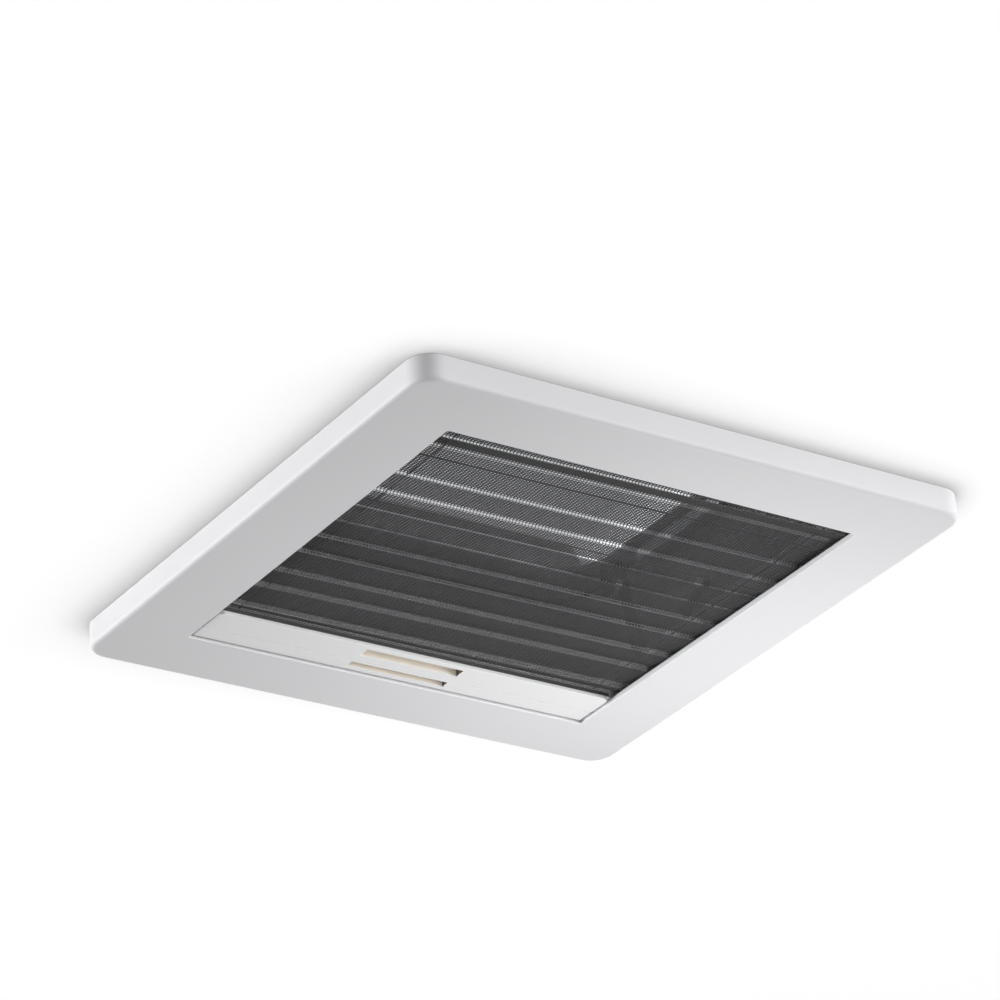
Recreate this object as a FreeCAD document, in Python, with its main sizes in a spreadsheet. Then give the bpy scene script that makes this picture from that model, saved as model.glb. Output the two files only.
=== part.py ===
import FreeCAD, Part
import os
import re

import Sketcher
from FreeCAD import Placement, Rotation, Vector

# A small roof vent for a 280 mm square cut-out. X runs along the pull bars, Y towards the
# end where the bars are parked, Z up. The origin is the centre of the trim's underside.

SIZES = [
    # roof, cut-out and clearances
    ("cutout", 280, "side of the square hole in the roof"),
    ("roof_thickness", 35, "from the ceiling to the outer skin"),
    ("gap", 0.3, "between parts that move apart"),
    ("pin_play", 0.05, "radial play of a pin in its hole"),
    # trim under the ceiling
    ("trim_margin", 46, "trim beyond the cut-out"),
    ("trim_height", 16, "underside of the trim to the ceiling"),
    ("trim_wall", 2.8, "face and side wall of the trim"),
    ("trim_corner", 15, "outer corner radius"),
    ("trim_edge", 3, "rounding of the lower outer edge"),
    ("window_step", 0.2, "window wall inside the cut-out line"),
    ("window_corner", 1.5, "corner radius of the window"),
    ("window_edge", 0.6, "rounding of the window's lower edge"),
    # carrier plate that is screwed up against the ceiling
    ("carrier_margin", 3.2, "from the trim's side wall to the carrier"),
    ("carrier_wall", 3, "thickness of the plate"),
    ("sleeve_wall", 2, "sleeve that enters the collar"),
    ("sleeve_height", 18, "sleeve above the ceiling"),
    ("sleeve_slip", 0.5, "sleeve to collar, each side"),
    # side rails and cassettes
    ("rail_width", 10, "across the rail"),
    ("rail_web", 2, "web behind the groove"),
    ("rail_lip", 1, "lower flange of the groove"),
    ("groove_height", 5.2, "height of the groove"),
    ("cassette_depth", 35.5, "housing beyond the window"),
    # pull bars
    ("bar_level", 1.2, "face of the bars above the trim's underside"),
    ("bar_height", 9, "face to back of a bar"),
    ("bar_end_gap", 1.9, "bar end to the window wall"),
    ("park_gap", 1.8, "parked blind bar to the window wall"),
    ("screen_bar_width", 20, "bar of the flyscreen"),
    ("blind_bar_width", 11.7, "bar of the blind"),
    ("grip_length", 69, "finger slot"),
    ("grip_depth", 8, "depth of a finger slot"),
    ("grip_wall", 4, "front edge of the flyscreen bar to its slot"),
    ("screen_grip_width", 8.5, "slot in the flyscreen bar"),
    ("blind_grip_wall", 1.5, "front edge of the blind bar to its slot"),
    ("blind_grip_width", 6.3, "slot in the blind bar"),
    ("bar_rounding", 0.8, "edges of the bars"),
    ("bar_corner", 4, "front corners of the flyscreen bar"),
    ("glide_reach", 7.5, "glide beyond the bar's end"),
    ("glide_inset", 2, "glide from the bar's edge"),
    # fabrics and guide cords
    ("screen_pleats", 14, "folds of the flyscreen"),
    ("blind_pleats", 14, "folds of the blind"),
    ("pleat_height", 3.6, "height of a fold"),
    ("fabric", 0.3, "thickness of both fabrics"),
    ("fabric_inset", 2, "fabric edge to the rail's web"),
    ("cord_radius", 0.4, "guide cord"),
    ("cord_hole", 0.9, "hole for a guide cord"),
    ("cord_inset", 14, "guide cord inside the cut-out"),
    ("knot_radius", 1.5, "knot at a cord's end"),
    # roof flange, collar and kerb
    ("flange_margin", 60, "flange beyond the cut-out"),
    ("flange_wall", 3, "thickness"),
    ("flange_corner", 30, "corner radius"),
    ("collar_gap", 1.5, "collar to the cut-out, each side"),
    ("collar_wall", 2.5, "thickness"),
    ("collar_corner", 30, "outer corner radius of the collar"),
    ("collar_end", 5, "collar's lower end above the ceiling"),
    ("kerb_wall", 6, "kerb around the opening"),
    ("kerb_height", 22, "kerb above the flange"),
    ("seal_height", 3.5, "dome seal on the kerb"),
    ("seal_width", 4, "dome seal"),
    ("tape_offset", 20, "sealing strip beyond the cut-out"),
    ("tape_width", 10, "sealing strip under the flange"),
    ("tape_height", 1.5, "sealing strip in its groove"),
    ("roof_hole_offset", 36, "screw hole beyond the cut-out"),
    ("roof_hole_radius", 2.25, "screw hole in the flange"),
    # clamp screws between carrier and flange
    ("clamp_inset", 7, "clamp screw inside the cut-out"),
    ("clamp_radius", 1.75, "clamp screw shank"),
    ("clamp_head_radius", 3.4, "clamp screw head"),
    ("clamp_head_height", 2, "clamp screw head"),
    ("boss_radius", 4.2, "boss for a clamp screw"),
    ("boss_height", 23, "boss below the flange"),
    ("boss_bite", 18, "screw in its boss"),
    # dome
    ("dome_margin", 43, "dome and its frame beyond the cut-out"),
    ("dome_corner", 36, "corner radius"),
    ("dome_frame_wall", 4.2, "thickness of the frame's plate"),
    ("skirt_wall", 3, "drip skirt"),
    ("skirt_drop", 13, "drip skirt below the plate"),
    ("light_step", 15, "clear opening inside the cut-out, three sides"),
    ("light_latch_step", 33, "clear opening inside the cut-out, latch side"),
    ("light_corner", 35, "corner radius of the clear opening"),
    ("dome_rise", 51, "outer pane above its frame"),
    ("dome_wall", 3, "outer pane"),
    ("dome_slope", 24, "slope of the pane's sides, degrees"),
    ("dome_round", 12, "rounding of the pane's top"),
    ("inner_margin", 5, "inner pane beyond the cut-out"),
    ("inner_rise", 30, "inner pane above the frame"),
    ("inner_wall", 2, "inner pane"),
    ("inner_round", 8, "rounding of the inner pane's top"),
    # hinge
    ("hinge_out", 8, "hinge axis outside the dome"),
    ("hinge_drop", 5.8, "hinge axis below the frame's plate"),
    ("hinge_place", 100, "knuckle from the middle"),
    ("knuckle_length", 40, "knuckle"),
    ("knuckle_radius", 5, "knuckle and lugs"),
    ("lug_width", 4, "lug on the flange"),
    ("hinge_pin_radius", 2, "hinge pin"),
    # stays
    ("stay_length", 120, "arm, pivot to peg, and hinge axis to pivot"),
    ("stay_inset", 11.8, "arm's inner face inside the cut-out"),
    ("stay_wall", 2.4, "thickness of arm and slotted rail"),
    ("stay_gap", 0.4, "arm to slotted rail"),
    ("stay_half", 4.5, "half height of the arm"),
    ("peg_radius", 2, "peg and pivot pin"),
    ("dome_angle", 45, "how far the dome opens, degrees"),
    # latch levers and vent hooks
    ("latch_y", 69.5, "lever's pivot"),
    ("latch_drop", 18.8, "lever's pivot below the dome's frame"),
    ("latch_inset", 13.4, "inner face of levers and hooks inside the cut-out"),
    ("latch_wall", 4, "thickness of levers and hooks"),
    ("latch_length", 50, "pivot to the handle's end"),
    ("latch_lean", 12.2, "lean of the released lever, degrees"),
    ("latch_hub", 4.5, "hub radius"),
    ("latch_half", 3.2, "half width of the handle"),
    ("nose_level", 13, "nose above the pivot"),
    ("nose_height", 3, "nose of the lever"),
    ("nose_reach", 8, "nose from the pivot's line"),
    ("catch_gap", 0.8, "nose of the released lever to the catch"),
    ("catch_reach", 4.5, "foot of the catch"),
    ("catch_wall", 3, "leg and foot of the catch"),
    ("catch_drop", 16.8, "catch below the dome frame"),
    ("hook_y", -9, "hook's pivot"),
    ("hook_rise", 11, "hook's pivot above the ceiling"),
    ("hook_length", 24, "pivot to the hook's end"),
    ("hook_lean", 57.3, "lean of the resting hook, degrees"),
    ("hook_half", 2, "half width of the hook"),
    ("clip_length", 16, "clip between trim and carrier"),
    ("clip_grip", 2.2, "clip under the carrier's edge"),
    ("clip_height", 3, "clip below the carrier"),
    ("clip_place", 110, "clip from the middle of its side"),
]

# Levels and places that follow from the sizes above.
DERIVED = [
    ("roof_level", "trim_height + roof_thickness"),
    ("flange_top", "roof_level + flange_wall"),
    ("kerb_top", "flange_top + kerb_height"),
    ("dome_level", "kerb_top + seal_height + gap"),
    ("pane_level", "dome_level + dome_frame_wall"),
    ("trim_width", "cutout + 2 * trim_margin"),
    ("flange_width", "cutout + 2 * flange_margin"),
    ("dome_width", "cutout + 2 * dome_margin"),
    ("inner_width", "cutout + 2 * inner_margin"),
    ("light_side", "cutout / 2 - light_step"),
    ("light_latch_side", "cutout / 2 - light_latch_step"),
    ("carrier_level", "trim_height - carrier_wall"),
    ("carrier_width", "trim_width - 2 * trim_wall - 2 * carrier_margin"),
    ("collar_width", "cutout - 2 * collar_gap"),
    ("shaft_width", "collar_width - 2 * collar_wall"),
    ("shaft_corner", "collar_corner - collar_wall"),
    ("sleeve_width", "shaft_width - 2 * sleeve_slip"),
    ("sleeve_corner", "shaft_corner - sleeve_slip"),
    ("window", "cutout - 2 * window_step"),
    ("rail_inner", "cutout / 2 + gap"),
    ("groove_level", "trim_wall + rail_lip"),
    ("groove_end", "rail_inner + rail_width - rail_web"),
    ("rail_height", "carrier_level - trim_wall"),
    ("cassette_front", "cutout / 2 + 2"),
    ("cassette_end", "cassette_front + cassette_depth"),
    ("anchor", "cassette_end - rail_web"),
    ("fabric_side", "groove_end - fabric_inset"),
    ("fabric_level", "groove_level + 0.4"),
    ("bar_half", "window / 2 - bar_end_gap"),
    ("blind_bar_back", "window / 2 - park_gap"),
    ("blind_bar_front", "blind_bar_back - blind_bar_width"),
    ("screen_bar_back", "blind_bar_front - gap"),
    ("screen_bar_front", "screen_bar_back - screen_bar_width"),
    ("cord_level", "groove_level + groove_height / 2"),
    ("cord_place", "cutout / 2 - cord_inset"),
    ("clamp_place", "cutout / 2 - clamp_inset"),
    ("roof_hole_place", "cutout / 2 + roof_hole_offset"),
    ("tape_place", "cutout / 2 + tape_offset"),
    ("tape_outer", "tape_place + tape_width / 2"),
    ("tape_inner", "tape_place - tape_width / 2"),
    ("hinge_y", "0 - dome_width / 2 - hinge_out"),
    ("hinge_z", "dome_level - hinge_drop"),
    ("stay_y", "hinge_y + stay_length"),
    ("peg_y", "hinge_y + 2 * stay_length"),
    ("slot_start", "hinge_y + 2 * stay_length * cos(dome_angle * 1 deg)"),
    ("stay_inner", "cutout / 2 - stay_inset"),
    ("latch_inner", "cutout / 2 - latch_inset"),
    ("latch_z", "dome_level - latch_drop"),
    ("hook_z", "trim_height + hook_rise"),
    ("stay_rail", "stay_inner + stay_wall + stay_gap"),
    ("shaft_half", "shaft_width / 2"),
    ("sleeve_half", "sleeve_width / 2 - sleeve_wall"),
    ("catch_y", "latch_y + catch_gap + nose_reach * cos(latch_lean * 1 deg)"
                " + (nose_level + nose_height) * sin(latch_lean * 1 deg)"),
]

doc = FreeCAD.newDocument("roof_vent")
sheet = doc.addObject("Spreadsheet::Sheet", "sizes")
ALIASES = [entry[0] for entry in SIZES + DERIVED]


def on_sheet(text):
    """Turn the plain size names of an expression into references to the sheet."""
    def reference(match):
        word = match.group()
        return "sizes." + word if word in ALIASES else word
    return re.sub(r"[a-z_]+", reference, str(text))


for row, (alias, value, note) in enumerate(SIZES, start=1):
    sheet.set(f"A{row}", alias)
    sheet.set(f"B{row}", str(value))
    sheet.set(f"C{row}", note)
    sheet.setAlias(f"B{row}", alias)
for row, (alias, formula) in enumerate(DERIVED, start=len(SIZES) + 1):
    sheet.set(f"A{row}", alias)
    sheet.set(f"B{row}", "=" + formula)
    sheet.setAlias(f"B{row}", alias)
doc.recompute()


def size(text):
    """The present value of an expression in the sheet's size names."""
    result = sheet.evalExpression(on_sheet(text).replace("sizes.", ""))
    return float(getattr(result, "Value", result))


nodes = []


def node(item, label):
    """Name a finished sub-part. Its label is also its file's name."""
    item.Label = label
    nodes.append(item)
    return item


def bind(item, **expressions):
    """Bind properties of an object to expressions; two underscores stand for a dot."""
    for name, text in expressions.items():
        item.setExpression(name.replace("__", "."), on_sheet(text))
    return item


# ---------------------------------------------------------------- primitives and booleans

def block(name, corner, lengths):
    """A box from its lowest corner and its three lengths."""
    item = doc.addObject("Part::Box", name)
    bind(item, Length=lengths[0], Width=lengths[1], Height=lengths[2])
    return bind(item, Placement__Base__x=corner[0], Placement__Base__y=corner[1],
                Placement__Base__z=corner[2])


def slab(name, side, span, along, up):
    """A box between two distances from the middle, on the side given by the sign."""
    start = span[0] if side > 0 else f"0 - ({span[1]})"
    return block(name, (start, along[0], up[0]),
                 (f"({span[1]}) - ({span[0]})", f"({along[1]}) - ({along[0]})",
                  f"({up[1]}) - ({up[0]})"))


def rod(name, axis, base, length, radius):
    """A cylinder along X, Y or Z from its lowest end."""
    item = doc.addObject("Part::Cylinder", name)
    turn = {"x": Rotation(Vector(0, 1, 0), 90), "y": Rotation(Vector(1, 0, 0), -90),
            "z": Rotation()}[axis]
    item.Placement = Placement(Vector(), turn)
    bind(item, Radius=radius, Height=length)
    return bind(item, Placement__Base__x=base[0], Placement__Base__y=base[1],
                Placement__Base__z=base[2])


def cross_rod(name, side, span, y, z, radius):
    """A cylinder along X between two distances from the middle, on one side."""
    start = span[0] if side > 0 else f"0 - ({span[1]})"
    return rod(name, "x", (start, y, z), f"({span[1]}) - ({span[0]})", radius)


def fuse(name, *parts):
    item = doc.addObject("Part::MultiFuse", name)
    item.Shapes = list(parts)
    return item


def group(name, *parts):
    """Separate solids that share one node."""
    item = doc.addObject("Part::Compound", name)
    item.Links = list(parts)
    return item


def cut(name, base, *tools):
    item = doc.addObject("Part::Cut", name)
    item.Base = base
    item.Tool = tools[0] if len(tools) == 1 else fuse(name + "_tools", *tools)
    return item


# ---------------------------------------------------------------- sketched plates and rings

def origin_plane(body, role):
    return next(item for item in body.Origin.OriginFeatures if item.Role == role)


def rounded_square(body, name, width, corner, level, shift="0", depth=None):
    """A sketch of a rectangle with rounded corners, centred on the Z axis plus a Y shift."""
    depth = depth or width
    half_x, half_y, radius = size(width) / 2, size(depth) / 2, size(corner)
    sketch = body.newObject("Sketcher::SketchObject", name)
    sketch.AttachmentSupport = (origin_plane(body, "XY_Plane"), "")
    sketch.MapMode = "FlatFace"
    bind(sketch, AttachmentOffset__Base__z=level, AttachmentOffset__Base__y=shift)
    centres = [(half_x - radius, -half_y + radius), (half_x - radius, half_y - radius),
               (-half_x + radius, half_y - radius), (-half_x + radius, -half_y + radius)]
    ends = [Vector(-half_x + radius, -half_y, 0), Vector(half_x - radius, -half_y, 0),
            Vector(half_x, -half_y + radius, 0), Vector(half_x, half_y - radius, 0),
            Vector(half_x - radius, half_y, 0), Vector(-half_x + radius, half_y, 0),
            Vector(-half_x, half_y - radius, 0), Vector(-half_x, -half_y + radius, 0)]
    for index in range(4):
        sketch.addGeometry(Part.LineSegment(ends[2 * index], ends[2 * index + 1]))
    quarter = 1.5707963267948966
    for index, (x, y) in enumerate(centres):
        circle = Part.Circle(Vector(x, y, 0), Vector(0, 0, 1), radius)
        start = quarter * (index - 1)
        sketch.addGeometry(Part.ArcOfCircle(circle, start, start + quarter))
    for index in range(4):
        sketch.addConstraint(Sketcher.Constraint("Tangent", index, 2, 4 + index, 1))
        sketch.addConstraint(Sketcher.Constraint("Tangent", 4 + index, 2, (index + 1) % 4, 1))
    for index in range(3):
        sketch.addConstraint(Sketcher.Constraint("Equal", 4 + index, 5 + index))
    sketch.addConstraint(Sketcher.Constraint("Symmetric", 0, 1, 0, 2, -2))
    sketch.addConstraint(Sketcher.Constraint("Symmetric", 1, 1, 1, 2, -1))
    sketch.addConstraint(Sketcher.Constraint("Horizontal", 2))
    sketch.addConstraint(Sketcher.Constraint("Vertical", 3))
    for kind, target, text in (("Radius", (4,), corner),
                               ("DistanceX", (-1, 1, 1, 1), f"({width}) / 2"),
                               ("DistanceY", (-1, 1, 2, 1), f"({depth}) / 2")):
        number = sketch.addConstraint(Sketcher.Constraint(kind, *target, size(text)))
        sketch.setExpression(f"Constraints[{number}]", on_sheet(text))
    return sketch


def pad(body, sketch, length, slope=None):
    item = body.newObject("PartDesign::Pad", sketch.Name + "_pad")
    item.Profile = sketch
    bind(item, Length=length)
    if slope:
        bind(item, TaperAngle=slope)
    return item


def pocket(body, sketch, length, slope=None):
    """Cut upwards from the sketch's level."""
    item = body.newObject("PartDesign::Pocket", sketch.Name + "_pocket")
    item.Profile = sketch
    item.Reversed = True
    bind(item, Length=length)
    if slope:
        bind(item, TaperAngle=slope)
    doc.recompute()
    return item


def edges_at(feature, level, within=1000):
    """The edges that lie at one level and no further out than one distance."""
    names = []
    for number, edge in enumerate(feature.Shape.Edges, start=1):
        box = edge.BoundBox
        flat = abs(box.ZMin - level) < 0.01 and abs(box.ZMax - level) < 0.01
        reach = max(abs(box.XMin), abs(box.XMax), abs(box.YMin), abs(box.YMax))
        if flat and reach < within:
            names.append(f"Edge{number}")
    return names


def fillet(body, feature, names, radius):
    doc.recompute()
    item = body.newObject("PartDesign::Fillet", feature.Name + "_fillet")
    item.Base = (feature, names)
    bind(item, Radius=radius)
    return item


def ring(label, outer, inner, outer_corner, inner_corner, level, height):
    """A flat square ring with rounded corners, as one body."""
    body = doc.addObject("PartDesign::Body", label + "_body")
    pad(body, rounded_square(body, label + "_outer", outer, outer_corner, level), height)
    pocket(body, rounded_square(body, label + "_inner", inner, inner_corner, level), height)
    return body


# ---------------------------------------------------------------- trim and carrier

def make_trim_frame():
    """The visible frame: a hollow square shell, open above, with a square window."""
    body = doc.addObject("PartDesign::Body", "trim")
    solid = pad(body, rounded_square(body, "trim_outline", "trim_width", "trim_corner", "0"),
                "trim_height")
    doc.recompute()
    fillet(body, solid, edges_at(solid, 0), "trim_edge")
    doc.recompute()
    pocket(body, rounded_square(body, "trim_cavity", "trim_width - 2 * trim_wall",
                                "trim_corner - trim_wall", "trim_wall"), "trim_height")
    window = pocket(body, rounded_square(body, "trim_window", "window", "window_corner", "0"),
                    "trim_height")
    fillet(body, window, edges_at(window, 0, size("window / 2 + window_edge")), "window_edge")
    node(body, "trim_frame")


def make_carrier_frame():
    """The plate screwed against the ceiling, with a sleeve that enters the collar."""
    plate = ring("carrier", "carrier_width", "2 * sleeve_half", "trim_corner - trim_wall",
                 "sleeve_corner - sleeve_wall", "carrier_level", "carrier_wall")
    sleeve = ring("sleeve", "sleeve_width", "2 * sleeve_half", "sleeve_corner",
                  "sleeve_corner - sleeve_wall", "trim_height", "sleeve_height")
    hook_bosses = [cross_rod(f"hook_boss_{side + 1}", side,
                             ("latch_inner + latch_wall + gap", "sleeve_half + 1"),
                             "hook_y", "hook_z", "latch_hub") for side in (-1, 1)]
    seats, holes = [], []
    for number, (sx, sy) in enumerate(((-1, -1), (1, -1), (-1, 1), (1, 1))):
        place = (f"{sx} * clamp_place", f"{sy} * clamp_place")
        seats.append(rod(f"head_seat_{number}", "z", (*place, "carrier_level"),
                         "carrier_wall + clamp_head_height", "clamp_head_radius + 1.4"))
        holes.append(rod(f"carrier_hole_{number}", "z", (*place, "carrier_level - 1"),
                         "carrier_wall + clamp_head_height + 2", "clamp_radius + gap"))
        holes.append(rod(f"head_recess_{number}", "z", (*place, "carrier_level - 1"),
                         "clamp_head_height + 1", "clamp_head_radius + gap"))
    pin_holes = [cross_rod(f"hook_pin_hole_{side + 1}", side,
                           ("latch_inner", "sleeve_half + 0.5"), "hook_y", "hook_z",
                           "peg_radius + pin_play") for side in (-1, 1)]
    whole = fuse("carrier_whole", plate, sleeve, *seats, *hook_bosses)
    node(cut("carrier_cut", whole, *holes, *pin_holes), "carrier_frame")


def make_trim_clips():
    """Eight spring clips that hold the trim to the edge of the carrier plate."""
    clips = []
    reach = "trim_width / 2 - trim_wall"
    for side in (-1, 1):
        for place in ("clip_place", "0 - clip_place"):
            across = f"({place}) - clip_length / 2"
            inner = f"({reach}) - carrier_margin - clip_grip"
            start = inner if side > 0 else f"0 - ({reach})"
            number = len(clips)
            clips.append(block(f"clip_{number}", (start, across, "carrier_level - clip_height"),
                               ("carrier_margin + clip_grip", "clip_length", "clip_height")))
            clips.append(block(f"clip_{number + 1}",
                               (across, start, "carrier_level - clip_height"),
                               ("clip_length", "carrier_margin + clip_grip", "clip_height")))
    node(group("clips", *clips), "trim_clips")


def make_clamp_screws():
    """Four long screws, their heads sunk in the carrier, up into the flange's bosses."""
    screws = []
    for number, (sx, sy) in enumerate(((-1, -1), (1, -1), (-1, 1), (1, 1))):
        place = (f"{sx} * clamp_place", f"{sy} * clamp_place")
        head = rod(f"clamp_head_{number}", "z", (*place, "carrier_level"), "clamp_head_height",
                   "clamp_head_radius")
        shank = rod(f"clamp_shank_{number}", "z", (*place, "carrier_level"),
                    "roof_level - boss_height + boss_bite - carrier_level", "clamp_radius")
        screws.append(fuse(f"clamp_screw_{number}", head, shank))
    node(group("clamps", *screws), "clamp_screws")


# ---------------------------------------------------------------- rails and cassettes

def make_side_rail(side, label):
    """A channel beside the window that guides the bars and the edges of both fabrics."""
    outer = slab(label + "_outer", side, ("rail_inner", "rail_inner + rail_width"),
                 ("0 - cassette_front", "cassette_front"), ("trim_wall", "carrier_level"))
    groove = slab(label + "_groove", side, ("rail_inner - 1", "groove_end"),
                  ("0 - cassette_front - 1", "cassette_front + 1"),
                  ("groove_level", "groove_level + groove_height"))
    node(cut(label + "_cut", outer, groove), label)


def make_cassette(end, label):
    """The housing beyond the window that one fabric folds into and is fixed in."""
    near, far = "cassette_front", "cassette_end"
    along = (near, far) if end > 0 else (f"0 - {far}", f"0 - {near}")
    inside = (f"{near} - 1", "anchor") if end > 0 else ("0 - anchor", f"0 - {near} + 1")
    half = "rail_inner + rail_width"
    outer = block(label + "_outer", (f"0 - ({half})", along[0], "trim_wall"),
                  (f"2 * ({half})", f"({along[1]}) - ({along[0]})", "rail_height"))
    groove = block(label + "_groove", ("0 - groove_end", inside[0], "groove_level"),
                   ("2 * groove_end", f"({inside[1]}) - ({inside[0]})", "groove_height"))
    holes = [rod(f"{label}_hole_{sign + 1}", "y",
                 (f"{sign} * cord_place", along[0] if end < 0 else "anchor - 1", "cord_level"),
                 "rail_web + 1", "cord_hole") for sign in (-1, 1)]
    node(cut(label + "_cut", outer, groove, *holes), label)


# ---------------------------------------------------------------- fabrics and cords

def pleated(name, label, start, end, folds):
    """A zigzag sheet along Y with holes for the guide cords."""
    low, high = size("fabric_level"), size("fabric_level + pleat_height")
    first, last, count = size(start), size(end), int(size(folds))
    half = size("fabric") / 2
    step = (last - first) / (2 * count)
    lean = half * ((step * step + (high - low) ** 2) ** 0.5) / step
    middle = (low + high) / 2
    swing = (high - low) / 2 - lean if (high - low) / 2 > lean else (high - low) / 4
    upper = []
    lower = []
    for index in range(2 * count + 1):
        y = first + index * step
        z = middle + (swing if index % 2 else -swing)
        upper.append(Vector(0, y, z + lean))
        lower.append(Vector(0, y, z - lean))
    outline = Part.makePolygon(upper + lower[::-1] + upper[:1])
    side = size("fabric_side")
    sheet_solid = Part.Face(outline).extrude(Vector(2 * side, 0, 0))
    sheet_solid.translate(Vector(-side, 0, 0))
    for sign in (-1, 1):
        hole = Part.makeCylinder(size("cord_hole"), last - first + 2,
                                 Vector(sign * size("cord_place"), first - 1, size("cord_level")),
                                 Vector(0, 1, 0))
        sheet_solid = sheet_solid.cut(hole)
    item = doc.addObject("Part::Feature", name)
    item.Shape = sheet_solid
    node(item, label)


def make_guide_cords():
    """Two taut cords through the bars and the folds, knotted behind the cassettes."""
    cords = [rod(f"cord_{sign + 1}", "y", (f"{sign} * cord_place", "0 - cassette_end",
                                           "cord_level"), "2 * cassette_end", "cord_radius")
             for sign in (-1, 1)]
    node(group("cords", *cords), "guide_cords")
    knots = []
    for sign in (-1, 1):
        for start in ("cassette_end", "0 - cassette_end - 2"):
            knots.append(rod(f"knot_{len(knots)}", "y",
                             (f"{sign} * cord_place", start, "cord_level"), "2",
                             "knot_radius"))
    node(group("knots", *knots), "cord_knots")


# ---------------------------------------------------------------- pull bars

def corner_rounds(name, front):
    """Tools that round the two front corners of a bar: a square less a quarter disc."""
    tools = []
    for side in (-1, 1):
        corner = slab(f"{name}_corner_{side + 1}", side, ("bar_half - bar_corner", "bar_half + 1"),
                      (f"({front}) - 1", f"({front}) + bar_corner"),
                      ("bar_level - 1", "bar_level + bar_height + 1"))
        disc = rod(f"{name}_disc_{side + 1}", "z",
                   (f"{side} * (bar_half - bar_corner)", f"({front}) + bar_corner",
                    "bar_level - 1"), "bar_height + 2", "bar_corner")
        tools.append(cut(f"{name}_round_{side + 1}", corner, disc))
    return tools


def make_bar(name, label, front, back, grip_start, grip_width, rounds=()):
    """A pull bar with a finger slot in its face and a hole at each end for the cord."""
    body = doc.addObject("PartDesign::Body", name + "_body")
    middle = f"(({front}) + ({back})) / 2"
    width = f"({back}) - ({front})"
    outline = rounded_square(body, name + "_outline", "2 * bar_half", "bar_rounding",
                             "bar_level", middle, width)
    solid = pad(body, outline, "bar_height")
    doc.recompute()
    fillet(body, solid, edges_at(solid, size("bar_level")), "bar_rounding / 2")
    doc.recompute()
    grip = rounded_square(body, name + "_grip", "grip_length", "0.6", "bar_level",
                          f"({grip_start}) + ({grip_width}) / 2", grip_width)
    pocket(body, grip, "grip_depth")
    holes = [rod(f"{name}_cord_hole_{sign + 1}", "y",
                 (f"{sign} * cord_place", f"({front}) - 1", "cord_level"),
                 f"({width}) + 2", "cord_hole") for sign in (-1, 1)]
    node(cut(name + "_cut", body, *holes, *rounds), label)


def make_glides(name, label, front, back):
    """The end pieces of a bar, which run in the grooves of the side rails."""
    glides = []
    for side in (-1, 1):
        glides.append(slab(f"{name}_{side + 1}", side, ("bar_half", "bar_half + glide_reach"),
                           (f"({front}) + glide_inset", f"({back}) - glide_inset"),
                           ("groove_level + gap", "groove_level + groove_height - gap")))
    node(group(name, *glides), label)


# ---------------------------------------------------------------- roof flange and seals

def make_roof_flange():
    """Flange on the roof, collar down through the cut-out, kerb, hinge lugs and bosses."""
    plate = ring("flange", "flange_width", "shaft_width", "flange_corner", "shaft_corner",
                 "roof_level", "flange_wall")
    collar = ring("collar", "collar_width", "shaft_width", "collar_corner", "shaft_corner",
                  "trim_height + collar_end", "roof_level - trim_height - collar_end")
    kerb = ring("kerb", "shaft_width + 2 * kerb_wall", "shaft_width",
                "shaft_corner + kerb_wall", "shaft_corner", "flange_top", "kerb_height")
    solids = [plate, collar, kerb]
    holes = []
    for number, (sx, sy) in enumerate(((-1, -1), (1, -1), (-1, 1), (1, 1))):
        place = (f"{sx} * clamp_place", f"{sy} * clamp_place")
        solids.append(rod(f"boss_{number}", "z", (*place, "roof_level - boss_height"),
                          "boss_height", "boss_radius"))
        holes.append(rod(f"boss_hole_{number}", "z", (*place, "roof_level - boss_height - 1"),
                         "boss_bite + 1", "clamp_radius"))
        holes.append(rod(f"roof_hole_{number}", "z",
                         (f"{sx} * roof_hole_place", f"{sy} * roof_hole_place",
                          "roof_level - 1"), "flange_wall + 2", "roof_hole_radius"))
    for side in (-1, 1):
        for edge in (-1, 1):
            name = f"lug_{side + 1}_{edge + 1}"
            inner = (f"{side} * hinge_place + {edge} * (knuckle_length / 2 + gap"
                     " + lug_width / 2) - lug_width / 2")
            solids.append(rod(name, "x", (inner, "hinge_y", "hinge_z"), "lug_width",
                              "knuckle_radius"))
            solids.append(block(name + "_post",
                                (inner, "hinge_y - knuckle_radius", "flange_top"),
                                ("lug_width", "2 * knuckle_radius", "hinge_z - flange_top")))
        start = f"{side} * hinge_place - knuckle_length / 2 - gap - lug_width - 1"
        holes.append(rod(f"lug_hole_{side + 1}", "x", (start, "hinge_y", "hinge_z"),
                         "knuckle_length + 2 * gap + 2 * lug_width + 2", "hinge_pin_radius"))
        for name, y, z in (("stay", "stay_y", "hinge_z"), ("latch", "latch_y", "latch_z")):
            inner = "stay_rail" if name == "stay" else "latch_inner + latch_wall + gap"
            solids.append(cross_rod(f"{name}_boss_{side + 1}", side,
                                    (inner, "shaft_half + 1"), y, z, "latch_hub"))
            holes.append(cross_rod(f"{name}_boss_hole_{side + 1}", side,
                                   ("latch_inner", "shaft_half + 0.5"), y, z,
                                   "peg_radius + pin_play"))
    groove = ring("tape_groove", "2 * tape_outer", "2 * tape_inner", "flange_corner",
                  "flange_corner", "roof_level - 1", "tape_height + 1")
    holes.append(groove)
    node(cut("flange_cut", fuse("flange_whole", *solids), *holes), "roof_flange")
    tape = ring("tape", "2 * tape_outer", "2 * tape_inner", "flange_corner", "flange_corner",
                "roof_level", "tape_height")
    node(tape, "roof_seal")


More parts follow.
